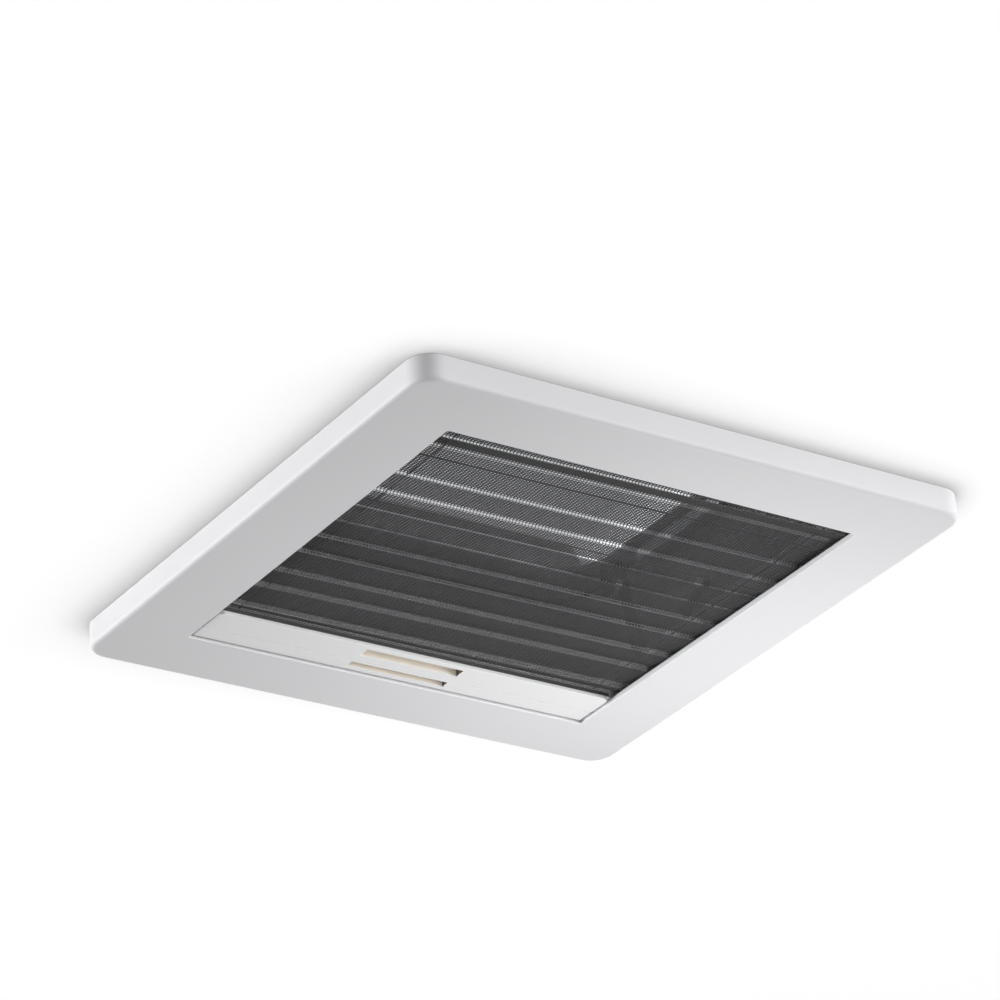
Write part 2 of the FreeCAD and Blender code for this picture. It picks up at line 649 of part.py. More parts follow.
def make_dome_seal():
    """The rubber ring on top of the kerb."""
    middle = "shaft_width + kerb_wall"
    seal = ring("seal", f"{middle} + seal_width", f"{middle} - seal_width",
                "shaft_corner + (kerb_wall + seal_width) / 2",
                "shaft_corner + (kerb_wall - seal_width) / 2", "kerb_top", "seal_height")
    node(seal, "dome_seal")


# ---------------------------------------------------------------- dome

def make_dome_frame():
    """The frame under the panes: plate with the clear opening, drip skirt and knuckles."""
    body = doc.addObject("PartDesign::Body", "dome_plate")
    pad(body, rounded_square(body, "dome_plate_outline", "dome_width", "dome_corner",
                             "dome_level"), "dome_frame_wall")
    pocket(body, rounded_square(body, "clear_opening", "2 * light_side", "light_corner",
                                "dome_level", "(light_latch_side - light_side) / 2",
                                "light_side + light_latch_side"), "dome_frame_wall")
    skirt = ring("skirt", "dome_width", "dome_width - 2 * skirt_wall", "dome_corner",
                 "dome_corner - skirt_wall", "dome_level - skirt_drop", "skirt_drop")
    solids = [body, skirt]
    holes = []
    for side in (-1, 1):
        start = f"{side} * hinge_place - knuckle_length / 2"
        solids.append(rod(f"knuckle_{side + 1}", "x", (start, "hinge_y", "hinge_z"),
                          "knuckle_length", "knuckle_radius"))
        solids.append(block(f"knuckle_web_{side + 1}", (start, "hinge_y", "hinge_z"),
                            ("knuckle_length", "hinge_out + skirt_wall",
                             "hinge_drop + dome_frame_wall")))
        holes.append(rod(f"knuckle_hole_{side + 1}", "x", (f"{start} - 1", "hinge_y", "hinge_z"),
                         "knuckle_length + 2", "hinge_pin_radius + pin_play"))
    node(cut("dome_frame_cut", fuse("dome_frame_whole", *solids), *holes), "dome_frame")


def pane_block(name, width, corner, rise, rounding):
    """A block with sloping sides and a rounded top edge."""
    body = doc.addObject("PartDesign::Body", name + "_body")
    sketch = rounded_square(body, name + "_outline", width, corner, "pane_level")
    solid = pad(body, sketch, rise, "0 - dome_slope")
    doc.recompute()
    fillet(body, solid, edges_at(solid, size(f"pane_level + {rise}")), rounding)
    return body


def make_pane(name, label, width, corner, rise, wall, rounding):
    """A shell with sloping sides, open below, standing on the dome frame."""
    outer = pane_block(name + "_outside", width, corner, rise, rounding)
    inner = pane_block(name + "_inside", f"{width} - 2 * {wall}", f"{corner} - {wall}",
                       f"{rise} - {wall}", f"{rounding} - {wall}")
    node(cut(name + "_cut", outer, inner), label)


# ---------------------------------------------------------------- hinge, stays and latches

def make_pins():
    """Hinge pins, stay pivot pins and the pins of levers and hooks."""
    hinge = []
    stays = []
    levers = []
    for side in (-1, 1):
        start = f"{side} * hinge_place - knuckle_length / 2 - gap - lug_width"
        hinge.append(rod(f"hinge_pin_{side + 1}", "x", (start, "hinge_y", "hinge_z"),
                         "knuckle_length + 2 * gap + 2 * lug_width", "hinge_pin_radius"))
        stays.append(fuse(f"stay_pin_whole_{side + 1}",
                          cross_rod(f"stay_pin_{side + 1}", side,
                                    ("stay_inner - gap", "shaft_half"), "stay_y", "hinge_z",
                                    "peg_radius"),
                          cross_rod(f"stay_pin_head_{side + 1}", side,
                                    ("stay_inner - gap - 1.2", "stay_inner - gap"), "stay_y",
                                    "hinge_z", "peg_radius + 1.5")))
        for name, y, z, end in (("latch", "latch_y", "latch_z", "shaft_half"),
                                ("hook", "hook_y", "hook_z", "sleeve_half")):
            levers.append(fuse(f"{name}_pin_whole_{side + 1}",
                               cross_rod(f"{name}_pin_{side + 1}", side,
                                         ("latch_inner - gap", end), y, z, "peg_radius"),
                               cross_rod(f"{name}_pin_head_{side + 1}", side,
                                         ("latch_inner - gap - 1.2", "latch_inner - gap"), y, z,
                                         "peg_radius + 1.5")))
    node(group("hinge_pin_group", *hinge), "hinge_pins")
    node(group("stay_pin_group", *stays), "stay_pivot_pins")
    node(group("lever_pin_group", *levers), "lever_pins")


def make_stay(side, hand):
    """An arm on the kerb whose peg slides in a slotted rail under the dome frame.

    The arm is as long as its pivot is far from the hinge axis, so the arm turns exactly
    twice as far as the dome.
    """
    faces = ("stay_inner", "stay_inner + stay_wall")
    up = ("hinge_z - stay_half", "hinge_z + stay_half")
    name = f"stay_arm_{hand}"
    arm = fuse(name + "_whole",
               slab(name + "_bar", side, faces, ("stay_y", "peg_y"), up),
               cross_rod(name + "_eye", side, faces, "stay_y", "hinge_z", "stay_half"),
               cross_rod(name + "_tip", side, faces, "peg_y", "hinge_z", "stay_half"))
    node(cut(name + "_cut", arm,
             cross_rod(name + "_hole", side, ("stay_inner - 1", "stay_rail"), "stay_y",
                       "hinge_z", "peg_radius + pin_play"),
             cross_rod(name + "_peg_hole", side, ("stay_inner - 1", "stay_rail"), "peg_y",
                       "hinge_z", "peg_radius")), name)
    node(cross_rod(f"peg_{hand}", side, ("stay_inner", "stay_rail + stay_wall + stay_gap"),
                   "peg_y", "hinge_z", "peg_radius"), f"stay_peg_{hand}")
    name = f"stay_rail_{hand}"
    span = ("stay_rail", "stay_rail + stay_wall")
    plate = slab(name + "_plate", side, span, ("slot_start - 8", "peg_y + 8"),
                 ("hinge_z - stay_half", "dome_level"))
    wide = ("stay_rail - 1", "stay_rail + stay_wall + 1")
    half = "peg_radius + 2 * pin_play"
    node(cut(name + "_cut", plate,
             slab(name + "_slot", side, wide, ("slot_start", "peg_y"),
                  (f"hinge_z - ({half})", f"hinge_z + ({half})")),
             cross_rod(name + "_slot_start", side, wide, "slot_start", "hinge_z", half),
             cross_rod(name + "_slot_end", side, wide, "peg_y", "hinge_z", half)), name)


def make_latch_lever(side, hand):
    """A hanging lever whose nose swings over a catch on the dome frame. Built about its
    own pivot and placed leaning, as it hangs when released."""
    name = f"latch_lever_{hand}"
    width = ("0", "latch_wall")
    hub = rod(name + "_hub", "x", ("0", "0", "0"), "latch_wall", "latch_hub")
    handle = slab(name + "_handle", 1, width, ("0 - latch_half", "latch_half"),
                  ("0 - latch_length", "0"))
    grip = slab(name + "_grip", 1, width, ("0 - latch_half - 1.2", "latch_half + 1.2"),
                ("0 - latch_length", "0 - latch_length * 0.6"))
    neck = slab(name + "_neck", 1, width, ("0 - latch_half", "latch_half"),
                ("0", "nose_level + nose_height"))
    nose = slab(name + "_nose", 1, width, ("0", "nose_reach"),
                ("nose_level", "nose_level + nose_height"))
    hole = rod(name + "_hole", "x", ("0 - 1", "0", "0"), "latch_wall + 2",
               "peg_radius + pin_play")
    lever = cut(name + "_cut", fuse(name + "_whole", hub, handle, grip, neck, nose), hole)
    lever.Placement = Placement(Vector(), Rotation(Vector(1, 0, 0), -1))
    start = "latch_inner" if side > 0 else "0 - latch_inner - latch_wall"
    bind(lever, Placement__Base__x=start, Placement__Base__y="latch_y",
         Placement__Base__z="latch_z", Placement__Rotation__Angle="0 - latch_lean")
    node(lever, name)


def make_vent_hook(side, hand):
    """A small hook on the sleeve, resting half raised against its stop."""
    name = f"vent_hook_{hand}"
    width = ("0", "latch_wall")
    hub = rod(name + "_hub", "x", ("0", "0", "0"), "latch_wall", "latch_hub")
    shank = slab(name + "_shank", 1, width, ("0 - hook_half", "hook_half"),
                 ("0 - hook_length", "0"))
    tip = slab(name + "_tip", 1, width, ("hook_half", "hook_half + 5"),
               ("0 - hook_length", "0 - hook_length + 3"))
    hole = rod(name + "_hole", "x", ("0 - 1", "0", "0"), "latch_wall + 2",
               "peg_radius + pin_play")
    hook = cut(name + "_cut", fuse(name + "_whole", hub, shank, tip), hole)
    hook.Placement = Placement(Vector(), Rotation(Vector(1, 0, 0), 1))
    start = "latch_inner" if side > 0 else "0 - latch_inner - latch_wall"
    bind(hook, Placement__Base__x=start, Placement__Base__y="hook_y",
         Placement__Base__z="hook_z", Placement__Rotation__Angle="hook_lean")
    node(hook, name)


def make_latch_catches():
    """Two angled catches under the dome frame, which the levers' noses swing over."""
    catches = []
    for side in (-1, 1):
        span = ("latch_inner", "latch_inner + latch_wall")
        name = f"catch_{side + 1}"
        foot_end = "catch_y + catch_reach"
        leg = slab(name + "_leg", side, span, (foot_end, f"{foot_end} + catch_wall"),
                   ("dome_level - catch_drop", "dome_level"))
        foot = slab(name + "_foot", side, span, ("catch_y", foot_end),
                    ("dome_level - catch_drop", "dome_level - catch_drop + catch_wall"))
        catches.append(fuse(name, leg, foot))
    node(group("catches", *catches), "latch_catches")


# ---------------------------------------------------------------- the whole vent

make_trim_frame()
make_carrier_frame()
make_trim_clips()
make_clamp_screws()
make_cassette(-1, "flyscreen_cassette")
make_cassette(1, "blind_cassette")
pleated("screen_sheet", "flyscreen", "0 - anchor", "screen_bar_front - gap", "screen_pleats")
pleated("blind_sheet", "blackout_blind", "blind_bar_back + gap", "anchor", "blind_pleats")
make_guide_cords()
make_bar("screen_bar", "flyscreen_bar", "screen_bar_front", "screen_bar_back",
         "screen_bar_front + grip_wall", "screen_grip_width",
         corner_rounds("screen_bar", "screen_bar_front"))
make_glides("screen_glide", "flyscreen_bar_glides", "screen_bar_front", "screen_bar_back")
make_bar("blind_bar_part", "blind_bar", "blind_bar_front", "blind_bar_back",
         "blind_bar_front + blind_grip_wall", "blind_grip_width")
make_glides("blind_glide", "blind_bar_glides", "blind_bar_front", "blind_bar_back")
make_roof_flange()
make_dome_seal()
make_dome_frame()
make_pane("outer_pane", "dome_outer", "dome_width", "dome_corner", "dome_rise", "dome_wall",
          "dome_round")
make_pane("inner_pane", "dome_inner", "inner_width", "light_corner", "inner_rise",
          "inner_wall", "inner_round")
make_pins()
make_latch_catches()
for side, hand in ((-1, "left"), (1, "right")):
    make_side_rail(side, f"side_rail_{hand}")
    make_stay(side, hand)
    make_latch_lever(side, hand)
    make_vent_hook(side, hand)
doc.recompute()

for item in doc.Objects:
    if "Invalid" in item.State or "Error" in item.State:
        raise RuntimeError(f"{item.Name} failed: {item.State}")
os.makedirs("parts", exist_ok=True)
for item in nodes:
    if item.Shape.isNull() or not item.Shape.isValid():
        raise RuntimeError(f"{item.Label} has no valid shape")
for item in nodes:
    item.Shape.exportStep(f"parts/{item.Label}.step")
    print(f"{item.Label}: {len(item.Shape.Solids)} solid(s), {item.Shape.Volume:.0f} mm3")
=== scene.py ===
import bpy
import numpy as np
from mathutils import Matrix, Vector


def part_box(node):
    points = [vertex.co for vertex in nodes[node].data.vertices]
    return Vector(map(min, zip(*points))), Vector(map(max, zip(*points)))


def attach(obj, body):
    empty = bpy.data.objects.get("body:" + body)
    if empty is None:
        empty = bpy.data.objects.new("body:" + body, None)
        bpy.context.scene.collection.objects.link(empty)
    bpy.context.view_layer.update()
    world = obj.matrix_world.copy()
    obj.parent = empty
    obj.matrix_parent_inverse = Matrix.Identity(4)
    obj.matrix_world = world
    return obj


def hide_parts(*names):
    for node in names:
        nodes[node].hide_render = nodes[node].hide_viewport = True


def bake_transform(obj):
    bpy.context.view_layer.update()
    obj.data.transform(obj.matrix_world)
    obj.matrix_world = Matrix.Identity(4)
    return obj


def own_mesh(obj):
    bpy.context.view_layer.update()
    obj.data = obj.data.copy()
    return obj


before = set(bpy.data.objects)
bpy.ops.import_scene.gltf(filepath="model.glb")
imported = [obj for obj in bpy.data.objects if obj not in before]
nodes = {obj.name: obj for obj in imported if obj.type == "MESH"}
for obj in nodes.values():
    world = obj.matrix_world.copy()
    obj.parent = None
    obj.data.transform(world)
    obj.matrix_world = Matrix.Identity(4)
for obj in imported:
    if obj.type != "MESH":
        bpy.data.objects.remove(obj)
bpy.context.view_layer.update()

scene = bpy.context.scene
scene.view_settings.view_transform = "Standard"

# --- Viewpoint -------------------------------------------------------------------------
# The vent is seen from the room, looking up at the ceiling from the hinge side. The
# camera is a long lens about two and a half metres away.

camera_data = bpy.data.cameras.new("camera")
camera_data.sensor_width = 36
camera_data.lens = 166.5
camera_data.clip_end = 50
camera = bpy.data.objects.new("camera", camera_data)
scene.collection.objects.link(camera)
looking = Vector((0.51618, 0.71955, 0.46454))
rightward = Vector((0.83132, -0.55141, -0.06963))
upward = rightward.cross(looking)
turn = Matrix((rightward, upward, -looking)).transposed()
camera.matrix_world = Matrix.Translation((-1.4037, -1.9451, -1.2006)) @ turn.to_4x4()
scene.camera = camera

# --- Ceiling ---------------------------------------------------------------------------
# A plain white ceiling that the trim lies against, cut out above it. It shows only from the
# room, so that the parts on the roof are seen from above. Where it is seen it glows white, and
# the glow is dimmed near the trim as a painted contact shadow. The lamps' own shadows fall on
# it as well.


def new_material(name):
    """A material with a node tree: the material, its tree and its principled shader."""
    material = bpy.data.materials.new(name)
    material.use_nodes = True
    return material, material.node_tree, material.node_tree.nodes["Principled BSDF"]


def combined(tree, operation, first, second):
    """One value worked out from two others."""
    result = tree.nodes.new("ShaderNodeMath")
    result.operation = operation
    tree.links.new(first, result.inputs[0])
    tree.links.new(second, result.inputs[1])
    return result.outputs[0]


def between(tree, value, low, high):
    """A range whose ends a value from zero to one picks between."""
    node = tree.nodes.new("ShaderNodeMapRange")
    node.inputs["To Min"].default_value = low
    node.inputs["To Max"].default_value = high
    tree.links.new(value, node.inputs["Value"])
    return node.outputs[0]


def seen_ray(tree):
    """One where a surface is seen directly, in a gloss or through a pane, else zero."""
    rays = tree.nodes.new("ShaderNodeLightPath").outputs
    direct = combined(tree, "MAXIMUM", rays["Is Camera Ray"], rays["Is Glossy Ray"])
    return combined(tree, "MAXIMUM", direct, rays["Is Transmission Ray"])


def mesh_piece(name, points, faces, material):
    """A mesh object from an array of points and an array of faces."""
    mesh = bpy.data.meshes.new(name)
    mesh.from_pydata(np.asarray(points, float).tolist(), [], np.asarray(faces).tolist())
    mesh.materials.append(material)
    piece = bpy.data.objects.new(name, mesh)
    scene.collection.objects.link(piece)
    return piece


def ring(inner, reach, level):
    """A flat ring between a closed line and a square around it: each point of the line
    is carried straight out from the middle until its larger coordinate is the reach."""
    count = len(inner)
    outer = inner / np.abs(inner).max(axis=1, keepdims=True) * reach
    index = np.arange(count)
    ahead = np.roll(index, -1)
    faces = np.stack([count + index, count + ahead, ahead, index], 1)
    return np.column_stack([np.vstack([outer, inner]), np.full(2 * count, level)]), faces


ceiling_reach, ceiling_lift = 3.0, 0.0002
hole_lip, hole_corner, hole_steps = 0.0006, 0.0144, 36
painted, painted_seen, painted_glow = 0.90, 0.30, 0.85
contact_reach, contact_power = 0.08, 1.4
trim_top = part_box("trim_frame")[1]
angle = (np.arange(hole_steps) + 0.5) / hole_steps * 2 * np.pi
around = np.stack([np.cos(angle), np.sin(angle)], 1)
hole = np.sign(around) * (trim_top[0] - hole_lip - hole_corner) + around * hole_corner
ceiling_paint, tree, shader = new_material("ceiling_paint")
shader.inputs["Roughness"].default_value = 0.9
shader.inputs["Specular IOR Level"].default_value = 0.1
seen = seen_ray(tree)
tree.links.new(between(tree, seen, painted, painted_seen), shader.inputs["Base Color"])
# Painted contact shadow: the glow is dimmed by how near the trim and other parts are.
painted_contact_shadow = tree.nodes.new("ShaderNodeAmbientOcclusion")
painted_contact_shadow.inputs["Distance"].default_value = contact_reach
soften = tree.nodes.new("ShaderNodeMath")
soften.operation = "POWER"
soften.inputs[1].default_value = contact_power
tree.links.new(painted_contact_shadow.outputs["AO"], soften.inputs[0])
shader.inputs["Emission Color"].default_value = (painted_glow,) * 3 + (1,)
tree.links.new(combined(tree, "MULTIPLY", seen, soften.outputs[0]),
               shader.inputs["Emission Strength"])
clear = tree.nodes.new("ShaderNodeBsdfTransparent")
facing = tree.nodes.new("ShaderNodeNewGeometry")
mix = tree.nodes.new("ShaderNodeMixShader")
tree.links.new(facing.outputs["Backfacing"], mix.inputs["Fac"])
tree.links.new(shader.outputs[0], mix.inputs[1])
tree.links.new(clear.outputs[0], mix.inputs[2])
tree.links.new(mix.outputs[0], tree.nodes["Material Output"].inputs["Surface"])
mesh_piece("ceiling", *ring(hole, ceiling_reach, trim_top[2] + ceiling_lift),
                    ceiling_paint)

# --- Light -----------------------------------------------------------------------------
# A pale room and sky. Two broad soft lamps stand beside the vent a little below the
# ceiling and light the trim's side walls, a small one hangs close below its right side,
# and one in the sky lights the parts on the roof.


def soft_lamp(name, place, target, width, watts):
    """A square area lamp at a place that shines towards a target."""
    data = bpy.data.lights.new(name, "AREA")
    data.size = width
    data.energy = watts
    lamp = bpy.data.objects.new(name, data)
    lamp.location = place
    aim = Vector(target) - Vector(place)
    lamp.rotation_euler = aim.to_track_quat("-Z", "Y").to_euler()
    scene.collection.objects.link(lamp)


room_light, seen_light = 0.185, 1.0
world = bpy.data.worlds.new("room")
scene.world = world
world.use_nodes = True
tree = world.node_tree
background = tree.nodes["Background"]
background.inputs["Color"].default_value = (1, 1, 1, 1)
tree.links.new(between(tree, seen_ray(tree), room_light, seen_light),
               background.inputs["Strength"])
soft_lamp("lamp_left", (-2.8, 1.9, -0.35), (0, 0, 0), 1.8, 140)
soft_lamp("lamp_front", (2.6, -2.6, -0.35), (0, 0, 0), 1.8, 148)
soft_lamp("lamp_right", (0.20, 0.02, -0.33), (0.17, 0, 0), 0.2, 0.73)
soft_lamp("lamp_sky", (-0.9, -1.1, 1.7), (0, 0, 0.1), 1.2, 40)

# --- Trim frame ------------------------------------------------------------------------
# The square frame that hides the cut edge of the ceiling, one injection moulding in
# white plastic. The plastic has a fine spark texture, a slow drift of shade where it
# flowed, and a sheen that varies a little.


def finished(tree, shader, colour, relief, depth, tone, drift, roughness, spread):
    """Bump from one noise. From another, a shade that drifts either side of the colour
    and a sheen that spreads either side of the roughness."""
    bump = tree.nodes.new("ShaderNodeBump")
    bump.inputs["Distance"].default_value = depth
    tree.links.new(relief, bump.inputs["Height"])
    tree.links.new(bump.outputs["Normal"], shader.inputs["Normal"])
    tint = tree.nodes.new("ShaderNodeVectorMath")
    tint.operation = "SCALE"
    tint.inputs[0].default_value = colour
    tree.links.new(between(tree, tone, 1 - drift, 1 + drift), tint.inputs["Scale"])
    tree.links.new(tint.outputs[0], shader.inputs["Base Color"])
    tree.links.new(between(tree, tone, roughness - spread, roughness + spread),
                   shader.inputs["Roughness"])


def moulded(name, colour, roughness, grain=0.0004, depth=0.00001, drift=0.02):
    """A dull finish for plastic, rubber or cloth: bump from fine noise with the size of
    the grain, shade and sheen from slow noise. The material, its tree and its shader."""
    flow_scale, sheen_spread = 14, 0.04
    material, tree, shader = new_material(name)
    link, add = tree.links.new, tree.nodes.new
    place = add("ShaderNodeTexCoord")
    fine, slow = add("ShaderNodeTexNoise"), add("ShaderNodeTexNoise")
    fine.inputs["Scale"].default_value = 1 / grain
    fine.inputs["Detail"].default_value = 2
    slow.inputs["Scale"].default_value = flow_scale
    slow.inputs["Detail"].default_value = 4
    link(place.outputs["Object"], fine.inputs["Vector"])
    link(place.outputs["Object"], slow.inputs["Vector"])
    finished(tree, shader, colour, fine.outputs["Fac"], depth, slow.outputs["Fac"], drift,
             roughness, sheen_spread)
    return material, tree, shader


def paint(material, *names):
    """Give a material to CAD nodes."""
    for name in names:
        data = nodes[name].data
        data.materials.clear()
        data.materials.append(material)


trim_white, tree, shader = moulded("trim_white", (0.80, 0.80, 0.815), 0.45)
shader.inputs["Specular IOR Level"].default_value = 0.3
paint(trim_white, "trim_frame")

# --- Pull bars and glides --------------------------------------------------------------
# Two bars moulded in white plastic, each with a finger slot in its face. The inside of each
# slot is painted cream as warm bounced light, and the wall at its right-hand end is painted
# dark as shade. The glides at the bars' ends are bare nylon and run in the grooves of the side
# rails.


def within(tree, axis, low, high):
    """One where an object coordinate lies between two values, else zero."""
    place = tree.nodes.new("ShaderNodeTexCoord")
    split = tree.nodes.new("ShaderNodeSeparateXYZ")
    tree.links.new(place.outputs["Object"], split.inputs[0])
    inside = tree.nodes.new("ShaderNodeMath")
    inside.operation = "COMPARE"
    inside.inputs[1].default_value = (low + high) / 2
    inside.inputs[2].default_value = (high - low) / 2
    tree.links.new(split.outputs[axis], inside.inputs[0])
    return inside.outputs[0]


def tinted(tree, mask, colour):
    """Mixes a colour into the base colour where the mask is one."""
    base = tree.nodes["Principled BSDF"].inputs["Base Color"]
    mix = tree.nodes.new("ShaderNodeMix")
    mix.data_type = "RGBA"
    tree.links.new(mask, mix.inputs["Factor"])
    tree.links.new(base.links[0].from_socket, mix.inputs[6])
    mix.inputs[7].default_value = (*colour, 1)
    tree.links.new(mix.outputs[2], base)


slot_low, slot_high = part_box("flyscreen_bar")[0][2] + 0.0006, 0.0098
slot_end, slot_wall = 0.0342, 0.001
wide_slot, narrow_slot = (0.1096, 0.1189), (0.1271, 0.1342)
slot_painted_light, slot_painted_shade = (0.92, 0.87, 0.79), (0.16, 0.12, 0.09)
bar_white, tree, shader = moulded("bar_white", (0.88, 0.88, 0.89), 0.38)
rows = combined(tree, "ADD", within(tree, "Y", *wide_slot), within(tree, "Y", *narrow_slot))
deep = combined(tree, "MULTIPLY", rows, within(tree, "Z", slot_low, slot_high))
whole = within(tree, "X", -slot_end - slot_wall, slot_end + slot_wall)
# Painted light: the inside of the slots is painted cream, standing in for warm bounced light.
tinted(tree, combined(tree, "MULTIPLY", deep, whole), slot_painted_light)
# Painted shade: the slots' right-hand end walls are painted dark.
right_end = within(tree, "X", slot_end, slot_end + slot_wall)
tinted(tree, combined(tree, "MULTIPLY", deep, right_end), slot_painted_shade)
paint(bar_white, "flyscreen_bar", "blind_bar")
glide_white = moulded("glide_white", (0.75, 0.75, 0.74), 0.5)[0]
paint(glide_white, "flyscreen_bar_glides", "blind_bar_glides")

# --- Carrier frame, side rails and cassettes -------------------------------------------
# The plate that is screwed against the ceiling, the channels that guide the bars and the edges
# of both fabrics, and the housings that these fold into. They are moulded in dull white
# plastic, and what stands above the ceiling is painted a darker grey as shade.

shade_low, shade_high, painted_shade_grey = 0.0165, 0.04, (0.28, 0.28, 0.285)
rail_white, tree, shader = moulded("rail_white", (0.62, 0.62, 0.63), 0.55)
# Painted shade: the parts above the ceiling, up the shaft, are painted darker grey.
tinted(tree, within(tree, "Z", shade_low, shade_high), painted_shade_grey)
paint(rail_white, "side_rail_left", "side_rail_right", "flyscreen_cassette",
      "blind_cassette", "carrier_frame")

# --- Trim clips and clamp screws -------------------------------------------------------
# Eight clips of spring steel hold the trim to the edge of the carrier plate, and four
# long screws clamp the carrier to the roof flange. Both have fine drawn lines.


def lined(name, colour, roughness, metal, period, depth, direction):
    """Fine uneven lines: noise whose steps are the period over each direction's share,
    so that it is stretched along the small shares, in the bump, shade and sheen."""
    shade_spread, sheen_spread = 0.15, 0.08
    material, tree, shader = new_material(name)
    place, stretch = tree.nodes.new("ShaderNodeTexCoord"), tree.nodes.new("ShaderNodeMapping")
    stretch.inputs["Scale"].default_value = [share / period for share in direction]
    tree.links.new(place.outputs["Object"], stretch.inputs["Vector"])
    lines = tree.nodes.new("ShaderNodeTexNoise")
    lines.inputs["Scale"].default_value = 1
    lines.inputs["Detail"].default_value = 3
    tree.links.new(stretch.outputs["Vector"], lines.inputs["Vector"])
    finished(tree, shader, colour, lines.outputs["Fac"], depth, lines.outputs["Fac"],
             shade_spread, roughness, sheen_spread)
    shader.inputs["Metallic"].default_value = metal
    return material


paint(lined("clip_steel", (0.55, 0.55, 0.56), 0.35, 1, 0.0003, 0.00001, (0.05, 0.05, 1)),
      "trim_clips")
paint(lined("screw_steel", (0.60, 0.60, 0.60), 0.35, 1, 0.0004, 0.00001, (1, 1, 0.2)),
      "clamp_screws")

# --- Flyscreen -------------------------------------------------------------------------
# A black woven mesh of polyester yarn, drawn out across the window. Each pleat lies almost flat
# and then drops steeply at its fold, where the light falls through. The yarn of each drop is
# painted lighter as a highlight. A hem of solid tape hangs in front of the bar.

screen_box = [np.array(corner) * 1000 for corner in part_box("flyscreen")]
pleat_line = np.array([  # corners of the pleats: place along Y and height, in millimetres
    (-175.3, -0.6), (-171, 0.8), (-169, -0.8), (-152, 0.9), (-150, -0.9), (-128.6, 0.3),
    (-127.4, -0.9), (-117, 1.4), (-114.4, 0.4), (-104, 0.1), (-101.5, 1.2), (-81.6, 0.9),
    (-80.5, -0.8), (-61.1, 0.1), (-59.9, -1.8), (-50, -1.7), (-47, -0.6), (-39.6, -0.2),
    (-38.8, -1.1), (-19.6, 0.0), (-18.4, -1.0), (0.2, 0.5), (1.5, -1.5), (21.2, 0.7),
    (22.6, -1.5), (46.4, 0.9), (49.2, -1.3), (67.2, 1.0), (70.8, -1.2), (93.2, 0.9),
    (96.8, -1.2), (103.6, 0.9), (105.2, -0.4)])


def box_threads(centres, sides, normals, width, height):
    """Square yarns: four corners at plus and minus half the width along the side vector
    and half the height along the normal, at every point of every centre line."""
    count, steps = centres.shape[:2]
    across, up = sides * width / 2, normals * height / 2
    corners = np.stack([centres - across - up, centres + across - up,
                        centres + across + up, centres - across + up], axis=2)
    index = np.arange(count * steps * 4).reshape(count, steps, 4)
    ahead = np.roll(index, -1, axis=2)
    walls = np.stack([index[:, :-1], ahead[:, :-1], ahead[:, 1:], index[:, 1:]], axis=-1)
    caps = np.concatenate([index[:, 0, ::-1], index[:, -1]])
    return corners.reshape(-1, 3), np.concatenate([walls.reshape(-1, 4), caps])


def woven(profile, reach, warp_pitch, weft_pitch, warp, weft, skew):
    """A woven cloth on a profile: yarns along X at even steps of the profile's length,
    and yarns along the profile at even steps of X, a fifth of a yarn to either side of
    it. The middle of each short drop lies halfway between two yarns, and its faces are
    marked. The folds run askew: a point moves along Y by the skew times its X, less so
    near both ends of the cloth. Points, faces, marks and the profile's length."""
    longest_drop, fade_reach, stations = 4.6, 15, 9
    step = np.diff(profile, axis=0)
    span = np.hypot(*step.T)
    length = np.concatenate([[0], np.cumsum(span)])
    low, high = profile[0, 0], profile[-1, 0]
    drops = (step[:, 1] < 0) & (span < longest_drop)
    marks = np.concatenate([[0], (length[:-1] + span / 2)[drops], [length[-1]]])
    counts = np.maximum(np.rint(np.diff(marks) / weft_pitch), 1).astype(int)
    along = np.concatenate([first + (np.arange(count) + 0.5) / count * gap
                            for first, gap, count in zip(marks, np.diff(marks), counts)])

    def path(x, y, z):
        fade = np.clip(np.minimum(y - low, high - y) / fade_reach, 0, 1)
        return np.stack(np.broadcast_arrays(x, y + skew * x * fade, z), -1)

    y, z = (np.interp(along, length, profile[:, axis])[:, None] for axis in (0, 1))
    near = np.clip(np.searchsorted(length, along) - 1, 0, len(step) - 1)
    tangent = step[near] / span[near, None]
    centres = path(np.linspace(-reach, reach, stations)[None], y, z)
    side, normal = np.zeros_like(centres), np.zeros_like(centres)
    side[..., 1:] = tangent[:, None]
    normal[..., 1], normal[..., 2] = -tangent[:, None, 1], tangent[:, None, 0]
    points, faces = box_threads(centres + weft / 5 * normal, side, normal, weft, weft)
    crease_highlight = [np.repeat(drops[near], (stations - 1) * 4), np.zeros(2 * len(near))]

    x = np.arange(-reach + warp_pitch / 2, reach, warp_pitch)[:, None]
    centres = path(x, profile[None, :, 0], profile[None, :, 1])
    slope = np.gradient(centres, axis=1)
    slope /= np.linalg.norm(slope, axis=-1, keepdims=True)
    side = np.zeros_like(centres)
    side[..., 0] = 1
    normal = np.cross(side, slope)
    more, walls = box_threads(centres - warp / 5 * normal, -side, normal, warp, warp)
    crease_highlight += [np.tile(np.repeat(drops, 4), len(x)), np.zeros(2 * len(x))]
    return (np.vstack([points, more]), np.vstack([faces, walls + len(points)]),
            np.concatenate(crease_highlight), length[-1])


